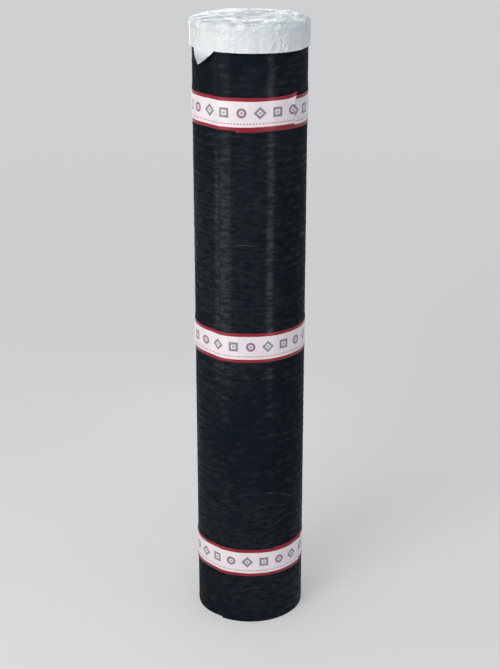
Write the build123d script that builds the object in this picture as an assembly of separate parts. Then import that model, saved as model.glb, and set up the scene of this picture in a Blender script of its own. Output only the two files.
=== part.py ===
from build123d import *
import math
import os

# Felt: driving dimensions, in millimetres
sheet_width = 1000.0      # width of the felt sheet, which is the length of the roll
felt_thickness = 3.0      # one turn of felt
bore_diameter = 60.0      # the open middle that the sheet is wound round
turns = 20                # turns of felt between the bore and the outside
turn_shift = 1.2          # step along the roll between one turn's end and the next

# Lap, where the sheet's free edge lies on the turn below it
lap_angle = -122.0        # place of the free edge in degrees, seen from above, with 0 at +X
lap_run = 40.0            # degrees over which the turn below climbs to the full radius
lap_press = 0.4           # how much the free edge is pressed thinner, in millimetres

# Packing tapes, in millimetres
tape_width = 50.0
tape_thickness = 0.3
tape_from_foot = 114.0    # foot of the roll to the middle of the lowest tape
tape_from_top = 127.0     # top of the roll to the middle of the highest tape

# Plastic film over the upper end, in millimetres
film_thickness = 1.0      # the crinkled film's bulk
film_skirt = 35.0         # how far it is folded down over the rim
film_rim_bevel = 0.7      # its fold over the rim

# Sizes that follow from the ones above
outer_radius = bore_diameter / 2 + turns * felt_thickness
tape_heights = {
    "tape_bottom": tape_from_foot,
    "tape_middle": sheet_width / 2,
    "tape_top": sheet_width - tape_from_top,
}


def end_shift(turn):
    """How far a turn stands above the lowest ones, with turn 0 outermost."""
    return (2 * turn % 3) * turn_shift


def at_angle(radius, angle):
    """Point on a circle round the roll's axis."""
    turned = math.radians(angle)
    return (radius * math.cos(turned), radius * math.sin(turned))


def roll_outline():
    """Section of the roll's outside: a circle that steps down at the lap and climbs back."""
    free_edge = at_angle(outer_radius, lap_angle)
    step_foot = at_angle(outer_radius - felt_thickness + lap_press, lap_angle)
    climb_end = at_angle(outer_radius, lap_angle - lap_run)
    far_side = at_angle(outer_radius, lap_angle - lap_run / 2 + 180)
    with BuildSketch() as outline:
        with BuildLine():
            last_turn = ThreePointArc(free_edge, far_side, climb_end)
            TangentArc(climb_end, step_foot, tangent=last_turn % 1)
            Line(step_foot, free_edge)
        make_face()
    return outline.sketch


def wrap_outline(thickness):
    """Section of something pulled tight round the roll, which spans the lap's notch."""
    with BuildSketch() as wrap:
        make_hull(roll_outline().edges())
        if thickness:
            offset(amount=thickness, kind=Kind.ARC)
    return wrap.sketch


def felt_roll():
    """The wound sheet: its turns side by side, turned about the axis, with the lap cut in."""
    with BuildPart() as roll:
        with BuildSketch(Plane.XZ):
            for turn in range(turns):
                radius = outer_radius - (turn + 0.5) * felt_thickness
                with Locations((radius, sheet_width / 2 + end_shift(turn))):
                    Rectangle(felt_thickness, sheet_width)
        revolve(axis=Axis.Z)
        with BuildSketch():
            add(roll_outline())
        extrude(amount=2 * sheet_width, mode=Mode.INTERSECT)
    return roll.part


def tape(middle_height):
    """One packing tape, a tight band round the roll."""
    with BuildPart() as band:
        with BuildSketch(Plane.XY.offset(middle_height - tape_width / 2)):
            add(wrap_outline(tape_thickness))
            add(wrap_outline(0), mode=Mode.SUBTRACT)
        extrude(amount=tape_width)
    return band.part


def end_film():
    """The film: a disc over the highest turns, folded down over the rim as a skirt."""
    skirt_foot = sheet_width - film_skirt
    seat = sheet_width + max(end_shift(turn) for turn in range(turns))
    with BuildPart() as film:
        with BuildSketch(Plane.XY.offset(skirt_foot)):
            add(wrap_outline(film_thickness))
        extrude(amount=seat + film_thickness - skirt_foot)
        chamfer(film.faces().sort_by(Axis.Z)[-1].edges(), length=film_rim_bevel)
        with BuildSketch(Plane.XY.offset(skirt_foot)):
            add(wrap_outline(0))
        extrude(amount=seat - skirt_foot, mode=Mode.SUBTRACT)
    return film.part


os.makedirs("parts", exist_ok=True)
export_step(felt_roll(), "parts/felt_roll.step")
for name, height in tape_heights.items():
    export_step(tape(height), f"parts/{name}.step")
export_step(end_film(), "parts/end_film.step")
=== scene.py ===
import math

import bpy
import numpy as np
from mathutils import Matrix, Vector


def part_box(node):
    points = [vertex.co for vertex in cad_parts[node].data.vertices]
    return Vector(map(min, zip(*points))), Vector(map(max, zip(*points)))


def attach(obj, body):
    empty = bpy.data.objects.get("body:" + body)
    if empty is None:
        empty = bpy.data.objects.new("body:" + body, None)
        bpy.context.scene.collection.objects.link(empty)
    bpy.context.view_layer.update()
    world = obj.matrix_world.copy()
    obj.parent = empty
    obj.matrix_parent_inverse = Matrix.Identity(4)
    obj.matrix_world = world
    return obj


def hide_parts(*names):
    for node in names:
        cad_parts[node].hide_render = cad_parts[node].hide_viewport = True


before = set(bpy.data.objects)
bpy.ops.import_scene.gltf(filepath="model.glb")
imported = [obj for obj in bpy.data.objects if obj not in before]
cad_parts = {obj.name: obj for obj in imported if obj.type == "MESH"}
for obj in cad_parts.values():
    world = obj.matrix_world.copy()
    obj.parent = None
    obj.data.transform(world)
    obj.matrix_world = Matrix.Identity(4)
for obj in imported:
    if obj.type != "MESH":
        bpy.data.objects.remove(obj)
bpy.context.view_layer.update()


def heights(node):
    """Lowest and highest point of a node of the CAD model."""
    low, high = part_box(node)
    return low.z, high.z


# The roll, in metres and degrees, with 0 degrees at +X and seen from above
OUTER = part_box("felt_roll")[1].x      # outside radius
SHEET_WIDTH = 1.0                     # height of one turn
FELT = 0.003                          # thickness of one turn
TURNS = 20
LAP_ANGLE = -122.0                    # the sheet's free edge
LAP_RUN = 40.0                        # where the turn below climbs back to the full radius
SEAT = heights("felt_roll")[1]        # top of the highest turns, which the film lies on
END_SHIFT = SEAT - SHEET_WIDTH        # most that a turn stands proud of the outermost
ROW_PITCH = 0.013                     # from one row of the facing's puckers to the next
SKIRT_FOOT = heights("end_film")[0]   # lower edge of the film's skirt

# The tapes: angle of the free end, overlap in degrees, rise along the length and seed
TAPES = {
    "tape_bottom": (-25.0, 38.0, -0.002, 31),
    "tape_middle": (111.5, 46.0, 0.0015, 32),
    "tape_top": (-42.0, 62.0, 0.003, 33),
}

# Scratches on the facing as arcs: centre along the sheet and up it, radius, and the
# stretch along the sheet that shows, from the centre
SCRATCHES = [
    (0.055, 0.105, 0.140, 0.010, 0.085),
    (0.520, 0.120, 0.095, -0.050, -0.005),
    (0.145, 0.080, 0.115, -0.060, -0.015),
    (0.040, 0.560, 0.110, -0.020, 0.030),
    (0.330, 0.310, 0.160, -0.080, 0.020),
]

# What the camera sees behind and far along the floor
BACKDROP = (0.62, 0.63, 0.64, 1)

# Tall panels that only show as gloss: name, angle seen from above, width, watts and colour
PANEL_REACH, PANEL_MIDDLE, PANEL_HEIGHT = 1.0, 0.60, 1.1
PANELS = [
    ("left_panel", 215.0, 0.60, 4.6, (1.0, 0.96, 0.91)),
    ("right_panel", -50.0, 0.20, 2.4, (0.84, 0.92, 1.0)),
    ("back_panel", 98.0, 0.50, 4.0, (0.94, 0.97, 1.0)),
]

# Large primes that scatter neighbouring cells and seeds
CELL_PRIMES = (73856093, 19349663, 83492791)
SEED_PRIME = 2654435761
MIXING_PRIME = 1274126177
LARGEST = 0x7FFFFFFF


# Random shapes, the same at each run

def smooth(share):
    """0 to 1 with a soft start and end."""
    share = np.clip(share, 0, 1)
    return share * share * (3 - 2 * share)


def between(value, low, high):
    """0 below low, 1 above high and a soft step between them."""
    return smooth((value - low) / (high - low))


def unsigned(value):
    """The same from 0 to 1 instead of from -1 to 1."""
    return 0.5 + 0.5 * value


def lattice(cell, seed):
    """A fixed random number from -1 to 1 for each whole-number cell."""
    mixed = seed * SEED_PRIME
    for axis, prime in enumerate(CELL_PRIMES):
        mixed = mixed ^ (cell[..., axis].astype(np.int64) * prime)
    mixed = (mixed ^ (mixed >> 13)) * MIXING_PRIME
    mixed = (mixed ^ (mixed >> 16)) & LARGEST
    return mixed / (LARGEST // 2) - 1


def hills(points, size, seed):
    """Soft random hills from -1 to 1, each about size across."""
    scaled = points / np.asarray(size)
    cell = np.floor(scaled).astype(np.int64)
    part = smooth(scaled - cell)
    total = 0.0
    for corner in np.ndindex(2, 2, 2):
        weight = np.prod(np.where(corner, part, 1 - part), axis=-1)
        total = total + weight * lattice(cell + np.array(corner), seed)
    return total


def facets(points, size, seed):
    """Random heights from -1 to 1 in flat facets that meet at sharp creases."""
    scaled = points / np.asarray(size)
    cell = np.floor(scaled).astype(np.int64)
    part = scaled - cell
    order = np.argsort(-part, axis=-1)
    corner = np.zeros_like(cell)
    value = lattice(cell, seed)
    total = value
    for step in range(3):
        axis = order[..., step][..., None]
        np.put_along_axis(corner, axis, 1, axis=-1)
        reached = lattice(cell + corner, seed)
        total = total + (reached - value) * np.take_along_axis(part, axis, -1)[..., 0]
        value = reached
    return total


def creases(points, pitch, folds, seed):
    """Sharp folds in random directions, each showing only in places, from 0 to about 1."""
    draw = np.random.default_rng(seed)
    patch, contrast = 1.8 * pitch, 1.4
    total = 0.0
    for fold in range(folds):
        across = draw.normal(size=3)
        across /= np.linalg.norm(across)
        wave = points @ across / pitch + draw.uniform(0, 1)
        height = 2 * np.abs(wave % 1 - 0.5)
        shown = smooth(0.5 + contrast * hills(points, patch, seed + 100 + fold))
        total = total + height * shown
    return total / (0.5 * folds)


def kneaded(points, shape, size, push, seed):
    """Points pushed about by a random shape, so that what is drawn over them runs unevenly."""
    pushes = [shape(points, size, seed + axis) for axis in range(3)]
    return points + push * np.stack(pushes, -1)


# Meshes

def stacked(*parts):
    """Points from their coordinates."""
    return np.stack(np.broadcast_arrays(*parts), -1)


def polar(radius, angle, height):
    """Points from a radius, an angle in degrees and a height."""
    turned = np.radians(angle)
    return stacked(radius * np.cos(turned), radius * np.sin(turned), height)


def grid_faces(rows, columns):
    """Four-sided faces between rows of points, each row a closed loop."""
    i, j = np.meshgrid(np.arange(rows - 1), np.arange(columns), indexing="ij")
    here, above = i * columns, (i + 1) * columns
    following = (j + 1) % columns
    faces = [here + j, here + following, above + following, above + j]
    return np.stack(faces, -1).reshape(-1, 4).tolist()


def add_object(name, data):
    """An object in the scene that shows a mesh, a lamp or a camera."""
    made = bpy.data.objects.new(name, data)
    bpy.context.scene.collection.objects.link(made)
    return made


def make_piece(name, points, faces, flat_uv, crest=None):
    """A smooth-shaded mesh object, with its place on the flat sheet as a UV map."""
    mesh = bpy.data.meshes.new(name)
    mesh.from_pydata(points.reshape(-1, 3).tolist(), [], faces)
    mesh.validate()
    corners = np.zeros(len(mesh.loops), np.int32)
    mesh.loops.foreach_get("vertex_index", corners)
    layer = mesh.uv_layers.new(name="flat")
    layer.uv.foreach_set("vector", flat_uv.reshape(-1, 2)[corners].astype(np.float32).ravel())
    mesh.polygons.foreach_set("use_smooth", np.ones(len(mesh.polygons), bool))
    if crest is not None:
        raised = mesh.attributes.new("crest", "FLOAT", "POINT")
        raised.data.foreach_set("value", crest.ravel().astype(np.float32))
    return add_object(name, mesh)


# The felt

def sheet_radius(along):
    """Radius of the sheet's outer face, along degrees of winding in from the free edge."""
    turn, within = np.divmod(along, 360)
    return OUTER - FELT * (turn + between(within, 360 - LAP_RUN, 360))


def pressed(height):
    """1 where a tape or the film's skirt holds the felt down, falling to 0 beside it."""
    skirt_fade, tape_fade = 0.010, 0.012
    held = between(height, SKIRT_FOOT - skirt_fade, SKIRT_FOOT + skirt_fade)
    for node in TAPES:
        low, high = heights(node)
        half = (high - low) / 2
        off_middle = np.abs(height - (low + high) / 2)
        held = np.maximum(held, between(off_middle, half + tape_fade, half))
    return held


def drawn(row, column, seed):
    """A fixed random number from 0 to 1 for each pair of whole numbers."""
    return unsigned(lattice(stacked(row, column, 0), seed))


def puckers(angle, height):
    """Rows of short puckers that run round the roll, from 0 between them to 1 on their tops."""
    shortest, longer, offset = 0.016, 0.016, 7
    sway, fullness, faintest = 0.35, 0.6, 0.35
    points = polar(OUTER, angle, height)
    along = np.radians((angle - LAP_ANGLE) % 360) * OUTER
    place = height / ROW_PITCH + sway * hills(points, (0.03, 0.03, 0.02), seed=3)
    row = np.floor(place).astype(np.int64)
    across = 0.5 - 0.5 * np.cos(2 * math.pi * (place - row))
    length = shortest + longer * drawn(row, 0, seed=4)
    step = along / length + offset * drawn(row, 0, seed=5)
    step = step + sway * hills(points, (0.03, 0.03, 0.01), seed=6)
    cell = np.floor(step).astype(np.int64)
    lengthwise = np.sin(math.pi * (step - cell)) ** fullness
    return across * lengthwise * (faintest + (1 - faintest) * drawn(row, cell, seed=9))


def wrinkle_depth(angle, height):
    """The facing's puckers and wrinkles, from 0 on a crest to 1 in the deepest furrow."""
    pucker_share, wrinkle_share = 0.6, 0.4
    bend, contrast, calmest = 0.004, 0.9, 0.45
    points = polar(OUTER, angle, height)
    bent = points + stacked(0, 0, bend * hills(points, 0.030, seed=11))
    wrinkles = unsigned(hills(bent, (0.030, 0.030, 0.0065), seed=4))
    patches = smooth(0.5 + contrast * hills(points, (0.10, 0.10, 0.17), seed=12))
    depth = pucker_share * (1 - puckers(angle, height)) + wrinkle_share * wrinkles
    return depth * (calmest + (1 - calmest) * patches)


def felt_relief(angle, height):
    """How far the outside of the felt lies in from its true radius, in metres."""
    dent, panel, wrinkle, eased = 0.00030, 0.00018, 0.00070, 0.75
    points = polar(OUTER, angle, height)
    depth = dent * unsigned(hills(points, (0.05, 0.05, 0.11), seed=1))
    depth = depth + panel * unsigned(hills(points, (0.028, 0.028, 0.7), seed=2))
    depth = depth + wrinkle * wrinkle_depth(angle, height)
    return depth * (1 - eased * pressed(height))


def edge_lift(along, height):
    """How far the free edge has sprung off the turn below, in metres."""
    reach, most, calmest = 11, 0.0009, 0.45
    near = np.clip(1 - along / reach, 0, 1) ** 2
    wave = calmest + (1 - calmest) * hills(stacked(0, 0, height), (1, 1, 0.09), seed=7)
    return most * near * wave * (1 - pressed(height))


def end_shift(along):
    """How far the sheet has wandered up the roll, along degrees of winding in from its free edge."""
    drift, still, free = 300, 345, 405
    wander = unsigned(hills(stacked(along / drift, 0, 0), 1.0, seed=8))
    return END_SHIFT * wander * between(along, still, free)


def section_loop(outer_rows):
    """One turn's section as (depth, height) points: up the outer face and down the inner one.

    Its cut edges are a little rounded, and it is thinner than a turn by a hair gap.
    """
    soft, bite, skin = 0.0007, 0.0002, 0.94 * FELT
    edge = [(bite, bite), (soft, 0), (skin - soft, 0), (skin - bite, bite), (skin, soft)]
    up = [(0, z) for z in np.linspace(soft, SHEET_WIDTH - soft, outer_rows)]
    over = [(depth, SHEET_WIDTH - z) for depth, z in edge]
    down = [(skin, SHEET_WIDTH * share) for share in (0.75, 0.5, 0.25)]
    return np.array(up + over + down + edge[::-1])


def wound_ribbon(along, outer_rows, outermost):
    """The sheet wound over those degrees as a closed skin: faces, points, flat places, crests.

    The turns inside begin a little deeper, so that they come out from under the outermost one.
    """
    face_depth, tuck, tuck_ends, tuck_full = 0.0008, 0.0013, 380, 366
    loop = section_loop(outer_rows)
    rows, columns = len(along), len(loop)
    along = along[:, None]
    depth, height = loop[None, :, 0], loop[None, :, 1]
    angle = LAP_ANGLE + along
    radius = sheet_radius(along) - depth
    crest = np.zeros((rows, columns))
    if outermost:
        on_face = np.clip(1 - depth / face_depth, 0, 1)
        radius = radius - felt_relief(angle, height) * on_face + edge_lift(along, height)
        crest = (1 - wrinkle_depth(angle, height)) * on_face
    else:
        radius = radius - tuck * between(along, tuck_ends, tuck_full)
    points = polar(radius, angle, height + end_shift(along))
    flat = stacked(np.radians(along) * OUTER + depth, height)
    first_end = list(range(columns - 1, -1, -1))
    last_end = list(range((rows - 1) * columns, rows * columns))
    faces = grid_faces(rows, columns) + [first_end, last_end]
    return faces, points.reshape(-1, 3), flat.reshape(-1, 2), crest.ravel()


def build_felt():
    """The whole sheet: its last turn with the relief of the outside, and the turns under it."""
    edge_steps, rest_steps, steps_a_turn = 13, 122, 80
    near_edge = np.linspace(0, 12, edge_steps)
    rest = np.linspace(14, 368, rest_steps)
    outside = wound_ribbon(np.concatenate([near_edge, rest]), outer_rows=500, outermost=True)
    inner_turns = np.linspace(362, 360 * TURNS, steps_a_turn * (TURNS - 1))
    inside = wound_ribbon(inner_turns, outer_rows=2, outermost=False)
    points, flat, crest = (np.concatenate(pair) for pair in zip(outside[1:], inside[1:]))
    shift = len(outside[1])
    faces = outside[0] + [[corner + shift for corner in face] for face in inside[0]]
    return make_piece("felt_sheet", points, faces, flat, crest)


# The tapes

def tight_radius(angle):
    """Radius of something pulled tight round the roll, which spans the lap's notch.

    Of the straight lines from the free edge back to the turn below, the tight one runs
    farthest from the axis.
    """
    widest, tries = 60, 240
    back = np.linspace(0.5, widest, tries)
    surface = sheet_radius(360 - back)
    turned = np.radians(back)
    span = np.sqrt(OUTER**2 + surface**2 - 2 * OUTER * surface * np.cos(turned))
    from_axis = OUTER * surface * np.sin(turned) / span
    best = int(np.argmax(from_axis))
    nearest = math.degrees(math.acos(from_axis[best] / OUTER))
    behind = (LAP_ANGLE - angle) % 360
    off_nearest = np.radians(np.clip(behind - nearest, -widest, widest))
    line = from_axis[best] / np.cos(off_nearest)
    return np.where(behind < back[best], line, sheet_radius((-behind) % 360))


def tape_grid(overlap):
    """Degrees wound along a tape and share of the way up it, finer near the free end."""
    body_steps, end_steps, steps_up = 190, 26, 25
    whole, fine = 360 + overlap, 12
    body = np.linspace(0, whole - fine, body_steps)
    end = np.linspace(whole - fine, whole, end_steps)
    turned = np.concatenate([body, end[1:]])
    return np.meshgrid(turned, np.linspace(0, 1, steps_up), indexing="ij")


def tape_place(node, turned, up):
    """Angle and height of a tape's points: a slow rise, wavering sides and a toothed cut end."""
    tooth, tooth_reach = 0.3, 1.5
    waver, pinch, trim = 0.0006, 0.0008, 0.0006
    end_angle, overlap, rise, seed = TAPES[node]
    low, high = heights(node)
    whole = 360 + overlap
    to_end = whole - turned
    zigzag = tooth * np.where(np.arange(up.shape[1]) % 2, 1, -1)
    angle = end_angle - to_end + zigzag * between(to_end, tooth_reach, 0)
    around = polar(OUTER, angle, 0)
    middle = (low + high) / 2 + waver * hills(around, 0.04, seed + 20)
    width = high - low - trim + pinch * hills(around, 0.02, seed + 30)
    height = middle + (up - 0.5) * width + rise * (turned / whole - 0.5)
    return angle, height


def tape_bubbles(points, seed):
    """How far soft bubbles and small flat creases hold a tape off the felt, in metres."""
    bubble, crease = 0.00012, 0.00010
    soft = unsigned(hills(points, (0.022, 0.022, 0.016), seed))
    sharp = unsigned(facets(points, (0.011, 0.011, 0.020), seed + 10))
    return bubble * soft + crease * sharp


def tape_face(node, turned, up):
    """Radius, angle and height of a tape's outer face, with the free end's corner lifting."""
    loose_reach, lift_all = 9, 0.0008
    lift_corner, lifted_above = 0.0100, 0.35
    raise_corner, raised_above = 0.01375, 0.60
    first_lay, second_lay, follow = 0.00012, 0.00016, 0.25
    overlap, seed = TAPES[node][1], TAPES[node][3]
    angle, height = tape_place(node, turned, up)
    bubbles = tape_bubbles(polar(OUTER, angle, height), seed)
    loose = np.clip(1 - (360 + overlap - turned) / loose_reach, 0, 1) ** 2
    height = height + raise_corner * loose * np.clip(up - raised_above, 0, 1)
    lift = loose * (lift_all + lift_corner * np.clip(up - lifted_above, 0, 1) ** 2)
    lay = first_lay + second_lay * between(turned, 359, 361.5)
    radius = tight_radius(angle) - follow * felt_relief(angle, height) + lay + bubbles + lift
    return radius, angle, height


def looped(outer, inner):
    """Both sides of a band as one loop across it: up the outer one and down the inner one."""
    return np.concatenate([outer, inner[:, ::-1]], axis=1)


def band_faces(rows, columns):
    """Faces of a band whose two sides lie in one loop, with both its ends closed."""
    around = 2 * columns
    faces = grid_faces(rows, around)
    for first in (0, (rows - 1) * around):
        last = first + around - 1
        end = [[first + j, first + j + 1, last - j - 1, last - j] for j in range(columns - 1)]
        faces += end if first else [face[::-1] for face in end]
    return faces


def build_tape(node):
    """A tape wound once round and on over its own start, with its free end lifting."""
    thickness = 0.00009
    turned, up = tape_grid(TAPES[node][1])
    radius, angle, height = tape_face(node, turned, up)
    outer = polar(radius, angle, height)
    inner = polar(radius - thickness, angle, height)
    low, high = heights(node)
    flat_along = np.radians(looped(turned, turned)) * OUTER
    flat_up = looped(up, up) * (high - low)
    name = node.replace("tape", "packing_tape")
    faces = band_faces(*turned.shape)
    return make_piece(name, looped(outer, inner), faces, stacked(flat_along, flat_up))


# The film

def film_profile():
    """The film's path from the middle over the rim and down: radius, height, tilt and length."""
    top_steps, rim_steps, skirt_steps = 84, 8, 40
    start, rim, slack, above = 0.0005, 0.0062, 0.0012, 0.0006
    flat_out = OUTER + slack - rim
    top = SEAT + above
    turn = np.linspace(0, math.pi / 2, rim_steps, endpoint=False)
    radius = np.concatenate([
        np.linspace(start, flat_out, top_steps, endpoint=False),
        flat_out + rim * np.sin(turn),
        np.full(skirt_steps, flat_out + rim),
    ])
    height = np.concatenate([
        np.full(top_steps, top),
        top - rim + rim * np.cos(turn),
        np.linspace(top - rim, SKIRT_FOOT, skirt_steps),
    ])
    tilt = np.concatenate([np.zeros(top_steps), turn, np.full(skirt_steps, math.pi / 2)])
    steps = np.hypot(np.diff(radius), np.diff(height))
    return radius, height, tilt, np.concatenate([[0], np.cumsum(steps)])


def film_creases(place):
    """How raised the crinkled film is, from 0 to 1: broad facets and two sizes of fold.

    The shapes are laid askew to the roll, so that none of them lines up with its axis.
    """
    facet_share, fold_share, fine_share = 1.4, 2.0, 1.0
    askew = place @ np.array([[0.80, -0.36, 0.48], [0.60, 0.48, -0.64], [0.0, 0.80, 0.60]])
    warped = kneaded(askew, hills, size=0.03, push=0.005, seed=41)
    kinked = kneaded(askew, facets, size=0.02, push=0.004, seed=51)
    raised = facet_share * unsigned(facets(warped, size=0.024, seed=44))
    raised = raised + fold_share * creases(kinked, pitch=0.019, folds=6, seed=45)
    raised = raised + fine_share * creases(kinked, pitch=0.0085, folds=6, seed=46)
    return raised / (facet_share + fold_share + fine_share)


def film_bulge(raised, radius, angle, down):
    """How far creases, and gathers towards the rim, push the film outwards, in metres."""
    crease, skirt_crease = 0.0044, 0.22
    gather, skirt_gather, ring = 0.0007, 0.0011, 0.06
    gathers_start, gathers_full = 0.045, 0.085
    on_top = 1 - smooth(3 * down)
    crinkles = crease * raised * (skirt_crease + (1 - skirt_crease) * on_top)
    gathers = unsigned(hills(polar(ring, angle, 0), 0.0045, seed=47))
    depth = between(radius, gathers_start, gathers_full) * (gather + skirt_gather * down)
    return crinkles + depth * gathers


def film_slack(radius):
    """How far the film over the end stands up in a ring, and sinks over the bore, in metres."""
    puff, sag, sag_reach = 0.0012, 0.006, 0.034
    ring = between(radius, 0.02, 0.05) * between(radius, 0.09, 0.06)
    return puff * ring - sag * between(radius, sag_reach, 0)


def hanging_corner(angle, place):
    """The corner that hangs below the skirt: 0 beside it and about 1 at its tip."""
    tip_angle, before, after, point, ragged = -143.0, 13, 17, 0.85, 0.08
    off = (angle - tip_angle + 180) % 360 - 180
    corner = np.clip(1 - np.abs(off) / np.where(off < 0, before, after), 0, 1) ** point
    return corner * (1 + ragged * hills(place, 0.012, seed=49))


def film_faces(rows, columns):
    """Faces of the film, closed at the middle by a last point."""
    middle = rows * columns
    fan = [[middle, (j + 1) % columns, j] for j in range(columns)]
    return [face[::-1] for face in grid_faces(rows, columns) + fan]


def build_film():
    """Thin film gathered over the top and shrunk down over the rim, with one corner hanging."""
    rim, steps_round = 0.006, 480
    waver, ring, corner_drop, corner_lean = 0.0012, 0.03, 0.023, 0.007
    radius, height, tilt, length = (values[:, None] for values in film_profile())
    angle = np.linspace(0, 360, steps_round, endpoint=False)
    down = np.clip((SEAT - height) / (SEAT - SKIRT_FOOT), 0, 1)
    down = down * between(radius, OUTER - rim, OUTER)
    place = polar(radius, angle, height)
    raised = film_creases(place)
    bulge = film_bulge(raised, radius, angle, down)
    corner = hanging_corner(angle, place)
    wave = waver * hills(polar(ring, angle, 0), 0.02, seed=48)
    longer = (wave + corner_drop * corner) * smooth(down)
    lean = corner_lean * corner * smooth(down) ** 2
    tight = (tight_radius(angle) - OUTER) * smooth(4 * down)
    out = radius + np.sin(tilt) * bulge + lean + tight
    up = height + np.cos(tilt) * (bulge + film_slack(radius)) - longer
    points = np.vstack([polar(out, angle, up).reshape(-1, 3), [0, 0, up[0].mean()]])
    flat = stacked(np.radians(angle) * OUTER, length + longer)
    flat = np.vstack([flat.reshape(-1, 2), [0, 0]])
    crest = np.append(raised.ravel(), raised[0].mean())
    return make_piece("top_film", points, film_faces(*raised.shape), flat, crest)


# Materials

class Nodes:
    """A node tree, with short calls that add its nodes and link them."""

    def __init__(self, tree):
        self.tree = tree

    def put(self, socket, value):
        """Links an output to an input, or sets a constant there."""
        if isinstance(value, bpy.types.NodeSocket):
            self.tree.links.new(value, socket)
        else:
            socket.default_value = value

    def add(self, kind, inputs=None, output=0, **settings):
        """One output of a new node."""
        node = self.tree.nodes.new(kind)
        for key, value in settings.items():
            setattr(node, key, value)
        for key, value in (inputs or {}).items():
            self.put(node.inputs[key], value)
        return node.outputs[output]

    def math(self, operation, a, b=0.0):
        return self.add("ShaderNodeMath", {0: a, 1: b}, operation=operation)

    def plus(self, a, b):
        return self.math("ADD", a, b)

    def minus(self, a, b):
        return self.math("SUBTRACT", a, b)

    def times(self, a, b):
        return self.math("MULTIPLY", a, b)

    def away(self, a, b):
        """How far one value is from another."""
        return self.math("ABSOLUTE", self.minus(a, b))

    def reach(self, x, y):
        """How far a flat place is from the middle."""
        return self.math("SQRT", self.plus(self.times(x, x), self.times(y, y)))

    def between(self, value, low, high):
        """0 below low, 1 above high and a soft step between."""
        inputs = {"Value": value, "From Min": low, "From Max": high}
        return self.add("ShaderNodeMapRange", inputs, interpolation_type="SMOOTHSTEP")

    def choose(self, factor, a, b):
        """One of two numbers."""
        return self.add("ShaderNodeMix", {"Factor": factor, "A": a, "B": b})

    def mix(self, factor, a, b):
        """A colour between two."""
        return self.add("ShaderNodeMixRGB", {"Fac": factor, "Color1": a, "Color2": b})

    def layered(self, colour, *layers):
        """A colour with others laid over it in turn, each as its share and the colour."""
        for share, above in layers:
            colour = self.mix(share, colour, above)
        return colour

    def split(self, vector):
        """The first two parts of a vector."""
        apart = self.add("ShaderNodeSeparateXYZ", {"Vector": vector}).node
        return apart.outputs["X"], apart.outputs["Y"]

    def seen_directly(self):
        """1 for what the camera sees itself, in a reflection or through something, and else 0."""
        path = self.add("ShaderNodeLightPath").node
        seen = path.outputs["Is Camera Ray"]
        for ray in ("Is Glossy Ray", "Is Transmission Ray"):
            seen = self.math("MAXIMUM", seen, path.outputs[ray])
        return seen


class Shader(Nodes):
    """The nodes of one material."""

    def __init__(self, name):
        self.material = bpy.data.materials.new(name)
        self.material.use_nodes = True
        super().__init__(self.material.node_tree)
        self.surface = self.tree.nodes["Principled BSDF"]

    def set(self, **inputs):
        """Sets or links inputs of the surface."""
        for key, value in inputs.items():
            self.put(self.surface.inputs[key.replace("_", " ")], value)

    def place(self):
        """Place on the object in metres."""
        return self.add("ShaderNodeTexCoord", output="Object")

    def flat(self):
        """Place on the flat sheet in metres."""
        return self.add("ShaderNodeUVMap", uv_map="flat")

    def crest(self):
        """The mesh's own measure of how raised it is."""
        return self.add("ShaderNodeAttribute", output="Fac", attribute_name="crest")

    def noise(self, vector, scale, detail, rough):
        """Random clouds from 0 to 1."""
        inputs = {"Vector": vector, "Scale": scale, "Detail": detail, "Roughness": rough}
        return self.add("ShaderNodeTexNoise", inputs)

    def streaks(self, scales, detail, rough, distortion=0.0):
        """Random streaks on the flat sheet, with its own scale along each side."""
        stretched = self.add("ShaderNodeMapping", {"Vector": self.flat(), "Scale": scales})
        inputs = {"Vector": stretched, "Scale": 1.0, "Detail": detail, "Roughness": rough,
                  "Distortion": distortion}
        return self.add("ShaderNodeTexNoise", inputs)

    def cells(self, vector, scale):
        """Distance from the nearest edge between random cells."""
        inputs = {"Vector": vector, "Scale": scale}
        return self.add("ShaderNodeTexVoronoi", inputs, feature="DISTANCE_TO_EDGE")

    def bump(self, height, strength, distance, normal=None):
        """A surface direction tipped by a height, on top of another one if it is given."""
        inputs = {"Height": height, "Strength": strength, "Distance": distance}
        if normal is not None:
            inputs["Normal"] = normal
        return self.add("ShaderNodeBump", inputs)


def scratches(s):
    """Thin arcs scraped into the facing, from 0 off them to their strength."""
    edge, core, strength = 0.00055, 0.00010, 0.6
    flat = s.flat()
    along, up = s.split(flat)
    total = 0.0
    for centre_along, centre_up, radius, first, last in SCRATCHES:
        x, y = s.minus(along, centre_along), s.minus(up, centre_up)
        line = s.between(s.away(s.reach(x, y), radius), edge, core)
        half = (last - first) / 2
        length = s.between(s.away(x, (first + last) / 2), half, 0.5 * half)
        upper = s.math("GREATER_THAN", y, 0.0)
        total = s.math("MAXIMUM", total, s.times(s.times(line, length), upper))
    worn = s.between(s.noise(flat, scale=300.0, detail=2, rough=0.6), 0.3, 0.6)
    return s.times(s.times(total, worn), strength)


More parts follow.
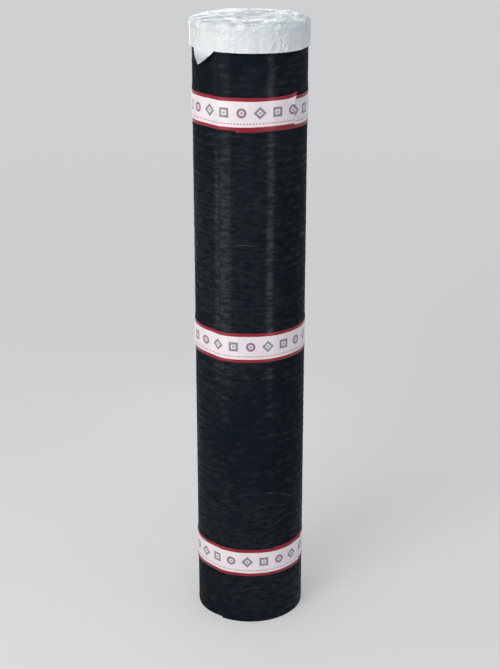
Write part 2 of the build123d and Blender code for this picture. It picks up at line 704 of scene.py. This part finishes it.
def felt_material():
    """Black bitumen felt under a thin, finely wrinkled film."""
    # The blue in these felt tones is a painted reflection of bluish daylight on the film
    black, lighter = (0.0036, 0.0074, 0.0122, 1), (0.0050, 0.0092, 0.0142, 1)
    rubbed_and_sheen, thread = (0.0088, 0.0124, 0.0172, 1), (0.015, 0.016, 0.018, 1)
    scratch, dust = (0.16, 0.16, 0.16, 1), (0.12, 0.115, 0.105, 1)
    s = Shader("film_faced_felt")
    place = s.place()
    ripples = s.streaks((55, 190, 1), detail=4, rough=0.6, distortion=0.5)
    threads = s.streaks((70, 620, 1), detail=2, rough=0.5)
    cloud = s.noise(place, scale=14.0, detail=3, rough=0.6)
    dusty = s.between(s.noise(place, scale=55.0, detail=3, rough=0.6), 0.52, 0.75)
    # worn marks the puckers' crests on the ripples; the lighter colour laid there is partly wear and
    # partly painted sheen on the crests
    worn = s.times(s.between(s.crest(), 0.32, 0.78), s.between(ripples, 0.38, 0.62))
    tone = s.layered(
        black,
        (s.between(cloud, 0.35, 0.7), lighter),
        (worn, rubbed_and_sheen),
        (s.times(s.between(threads, 0.5, 0.75), 0.4), thread),
        (scratches(s), scratch),
        (s.times(dusty, 0.05), dust),
    )
    rough = s.plus(0.38, s.times(s.between(cloud, 0.3, 0.7), 0.10))
    rough = s.plus(rough, s.times(dusty, 0.12))
    normal = s.bump(ripples, strength=0.5, distance=0.0012)
    normal = s.bump(threads, strength=0.8, distance=0.0009, normal=normal)
    s.set(Base_Color=tone, Roughness=rough, Normal=normal, Specular_IOR_Level=0.0)
    s.set(Coat_Weight=s.plus(0.09, s.times(worn, 0.19)), Coat_Roughness=0.18)
    return s.material


def cut_edge_material():
    """The sheet's cut ends: dull, gritty bitumen with paler patches."""
    black, grey, pale = (0.008, 0.008, 0.009, 1), (0.028, 0.027, 0.026, 1), (0.05, 0.046, 0.04, 1)
    s = Shader("felt_cut_edge")
    place = s.place()
    grit = s.noise(place, scale=900.0, detail=3, rough=0.7)
    patch = s.noise(place, scale=60.0, detail=2, rough=0.5)
    pale_share = s.times(s.between(patch, 0.5, 0.8), 0.4)
    tone = s.layered(black, (s.between(grit, 0.4, 0.7), grey), (pale_share, pale))
    s.set(Base_Color=tone, Roughness=0.72, Normal=s.bump(grit, strength=0.5, distance=0.0003))
    return s.material


def tape_edges(s, up, ink):
    """1 on the coloured edges along both sides of a tape, which waver a little."""
    width, edge, soft, waver = 0.050, 0.0055, 0.00025, 0.0006
    to_side = s.math("MINIMUM", up, s.minus(width, up))
    wobble = s.times(s.minus(ink, 0.5), waver)
    return s.between(s.plus(to_side, wobble), edge + soft, edge - soft)


def tape_marks(s, along, up, ink):
    """A diamond, a square and a disc in turn: where they show, and which colour is theirs."""
    pitch, size, line, soft = 0.0280, 0.0083, 0.0270, 0.0003
    teal, violet, grey = (0.12, 0.17, 0.19, 1), (0.22, 0.06, 0.17, 1), (0.15, 0.14, 0.18, 1)
    kind = s.math("MODULO", s.math("FLOOR", s.math("DIVIDE", along, pitch)), 3.0)
    is_diamond = s.math("LESS_THAN", kind, 0.5)
    is_disc = s.math("GREATER_THAN", kind, 1.5)
    x = s.away(s.math("MODULO", along, pitch), pitch / 2)
    y = s.away(up, line)
    span = s.choose(is_diamond, s.math("MAXIMUM", x, y), s.plus(x, y))
    span = s.choose(is_disc, span, s.reach(x, y))
    outline = s.choose(is_diamond, 0.92 * size, 1.2 * size)
    inside = s.between(s.minus(span, outline), soft, -soft)
    past_hole = s.between(s.minus(span, s.times(outline, 0.50)), -soft, soft)
    dot = s.between(s.minus(span, s.times(outline, 0.22)), soft, -soft)
    shape = s.times(inside, s.math("MAXIMUM", past_hole, dot))
    hue = s.mix(is_diamond, s.mix(is_disc, grey, violet), teal)
    return s.times(shape, s.between(ink, 0.2, 0.45)), hue


def tape_dots(s, along, up):
    """1 on a dotted line below the marks."""
    pitch, dash, line, half = 0.0048, 0.0030, 0.0105, 0.0009
    on_dash = s.math("LESS_THAN", s.math("MODULO", along, pitch), dash)
    on_line = s.math("LESS_THAN", s.away(up, line), half)
    return s.times(on_dash, on_line)


def tape_material():
    """Glossy white packing tape with crimson edges, a row of plain marks and a dotted line."""
    white, greyer = (0.86, 0.79, 0.82, 1), (0.78, 0.72, 0.76, 1)
    dot_red, edge_red = (0.45, 0.04, 0.07, 1), (0.27, 0.005, 0.021, 1)
    s = Shader("printed_tape")
    place = s.place()
    along, up = s.split(s.flat())
    ink = s.noise(place, scale=700.0, detail=2, rough=0.6)
    milky = s.noise(place, scale=35.0, detail=3, rough=0.6)
    printed, hue = tape_marks(s, along, up, ink)
    tone = s.layered(
        white,
        (s.between(milky, 0.3, 0.75), greyer),
        (s.times(printed, 0.88), hue),
        (s.times(tape_dots(s, along, up), 0.75), dot_red),
        (tape_edges(s, up, ink), edge_red),
    )
    ripple = s.streaks((60, 22, 1), detail=2, rough=0.5, distortion=0.4)
    s.set(Base_Color=tone, Roughness=0.34, Normal=s.bump(ripple, strength=0.35, distance=0.0006))
    s.set(Specular_IOR_Level=0.3, Coat_Weight=0.12, Coat_Roughness=0.15)
    return s.material


def film_material():
    """Thin crinkled polythene, milky where it is bunched, and greyer in the hollows of its creases,
    partly the felt seen through and partly painted shade.
    """
    see_through_and_shade, milky, thin_edge = (0.48, 0.56, 0.59, 1), (0.85, 0.89, 0.91, 1), (0.45, 0.51, 0.51, 1)
    skirt_starts, skirt_full, corner_starts, corner_full = 0.082, 0.096, 0.126, 0.140
    bend = (0.012, 0.012, 0.012)
    s = Shader("crinkled_film")
    place = s.place()
    warp = s.add("ShaderNodeTexNoise", {"Vector": place, "Scale": 60.0, "Detail": 2.0}, output="Color")
    bent = s.add("ShaderNodeVectorMath", {0: warp, 1: bend}, operation="MULTIPLY")
    bent = s.add("ShaderNodeVectorMath", {0: place, 1: bent}, operation="ADD")
    cloud = s.noise(place, scale=45.0, detail=4, rough=0.6)
    out = s.split(s.flat())[1]
    skirt = s.between(out, skirt_starts, skirt_full)
    corner = s.between(out, corner_starts, corner_full)
    # Low in the creases the film keeps the grey colour: partly the dark felt seen through it, partly
    # painted shade in the hollows
    loose = s.plus(s.times(s.crest(), 0.6), s.times(cloud, 0.4))
    bunched = s.math("MAXIMUM", s.between(loose, 0.35, 0.64), s.times(skirt, 0.8))
    tone = s.layered(see_through_and_shade, (bunched, milky), (s.times(corner, 0.85), thin_edge))
    normal = s.bump(s.cells(bent, 85.0), strength=0.65, distance=0.0030)
    normal = s.bump(s.cells(bent, 190.0), strength=0.6, distance=0.0013, normal=normal)
    s.set(Base_Color=tone, Roughness=s.plus(0.09, s.times(cloud, 0.16)), Normal=normal)
    s.set(Specular_IOR_Level=0.45, Coat_Weight=0.15, Coat_Roughness=0.10, Alpha=0.92)
    return s.material


def floor_material():
    """Plain pale floor that keeps its shadows and stays pale far from the lamps."""
    pale, duller, near_glow = (0.81, 0.81, 0.805, 1), (0.79, 0.79, 0.785, 1), (0.68, 0.68, 0.69, 1)
    glow_starts, glow_full, least_glow = 0.6, 3.8, 0.35
    s = Shader("pale_floor")
    place = s.place()
    cloud = s.noise(place, scale=3.0, detail=3, rough=0.6)
    s.set(Base_Color=s.mix(cloud, pale, duller), Roughness=0.8, Specular_IOR_Level=0.2)
    distance = s.add("ShaderNodeVectorMath", {0: place}, output="Value", operation="LENGTH")
    far = s.between(distance, glow_starts, glow_full)
    glow = s.add("ShaderNodeEmission", {"Color": s.mix(far, near_glow, BACKDROP)})
    share = s.times(s.seen_directly(), s.plus(least_glow, s.times(far, 1 - least_glow)))
    lit = s.add("ShaderNodeMixShader", {0: share, 1: s.surface.outputs[0], 2: glow})
    s.put(s.tree.nodes["Material Output"].inputs["Surface"], lit)
    return s.material


def dress(piece, slot, node, *materials):
    """Gives a piece its materials and its body, and hides the CAD node that it stands for. The slot is
    not used.
    """
    for material in materials:
        piece.data.materials.append(material)
    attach(piece, "root")
    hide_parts(node)
    return piece


def mark_cut_edges(felt, index):
    """Gives the sheet's cut ends, which face up or down, another of its materials."""
    least_slope = 0.35
    for face in felt.data.polygons:
        if abs(face.normal.z) > least_slope:
            face.material_index = index


# Stage, light and camera

def add_floor():
    """A round floor that reaches far past what the camera sees."""
    reach, sides = 14.0, 96
    mesh = bpy.data.meshes.new("floor")
    ring = polar(reach, np.arange(sides) * 360 / sides, 0.0)
    mesh.from_pydata(ring.tolist(), [], [list(range(sides))])
    mesh.materials.append(floor_material())
    floor = add_object("floor", mesh)


def add_world():
    """Soft daylight from the left, in front of a plain pale backdrop."""
    left, right = (0.64, 0.64, 0.65, 1), (0.46, 0.49, 0.53, 1)
    world = bpy.data.worlds.new("studio")
    bpy.context.scene.world = world
    world.use_nodes = True
    s = Nodes(world.node_tree)
    to_right = s.split(s.add("ShaderNodeTexCoord", output="Generated"))[0]
    share = s.add("ShaderNodeMapRange", {"Value": to_right, "From Min": -1.0})
    daylight = s.mix(share, left, right)
    colour = s.mix(s.seen_directly(), daylight, BACKDROP)
    s.put(s.tree.nodes["Background"].inputs["Color"], colour)


def point_at(holder, place, aim):
    """Puts a lamp or a camera in its place and turns it to what it looks at."""
    holder.location = place
    holder.rotation_euler = (Vector(aim) - Vector(place)).to_track_quat("-Z", "Y").to_euler()


def add_lamp(name, place, aim, size, power, colour, diffuse=True, gloss=True):
    """A rectangular lamp that the camera doesn't see, and that may light only one kind of shine."""
    lamp = bpy.data.lights.new(name, "AREA")
    lamp.shape = "RECTANGLE"
    lamp.size, lamp.size_y = size
    lamp.energy = power
    lamp.color = colour
    holder = add_object(name, lamp)
    point_at(holder, place, aim)
    holder.visible_camera = False
    holder.visible_diffuse = diffuse
    holder.visible_glossy = gloss


def add_lights():
    """A soft key from the left, a top light, and tall panels that only show as gloss.

    The key's gloss is a weaker lamp in its place, so that its glare doesn't whiten the film.
    """
    middle = (0.0, 0.0, 0.55)
    key = {"place": (-1.55, -2.1, 2.1), "size": (1.5, 1.5), "colour": (1.0, 0.95, 0.90)}
    add_lamp("key", aim=middle, power=40, gloss=False, **key)
    add_lamp("key_glint", aim=middle, power=12, diffuse=False, **key)
    top_place, top_size, top_colour = (-0.2, -0.6, 3.2), (1.6, 1.6), (0.95, 0.98, 1.0)
    add_lamp("top", top_place, middle, top_size, 12, top_colour)
    for name, angle, width, power, colour in PANELS:
        place = polar(PANEL_REACH, angle, PANEL_MIDDLE).tolist()
        size = (width, PANEL_HEIGHT)
        add_lamp(name, place, (0, 0, PANEL_MIDDLE), size, power, colour, diffuse=False)


def add_camera():
    """The camera at the photo's angle, with the whole roll in view."""
    distance, eye, aim_height = 2.2, 1.32, 0.490
    camera = bpy.data.cameras.new("camera")
    camera.lens = 77.0
    camera.sensor_width = 36.0
    holder = add_object("camera", camera)
    point_at(holder, (0.0, -distance, eye), (0.0, 0.0, aim_height))
    bpy.context.scene.camera = holder


felt = dress(build_felt(), "felt", "felt_roll", felt_material(), cut_edge_material())
mark_cut_edges(felt, 1)
printed_tape = tape_material()
for tape_node in TAPES:
    dress(build_tape(tape_node), "tape", tape_node, printed_tape)
film = dress(build_film(), "film", "end_film", film_material())

add_floor()
add_world()
add_lights()
add_camera()
bpy.context.scene.view_settings.view_transform = "Standard"
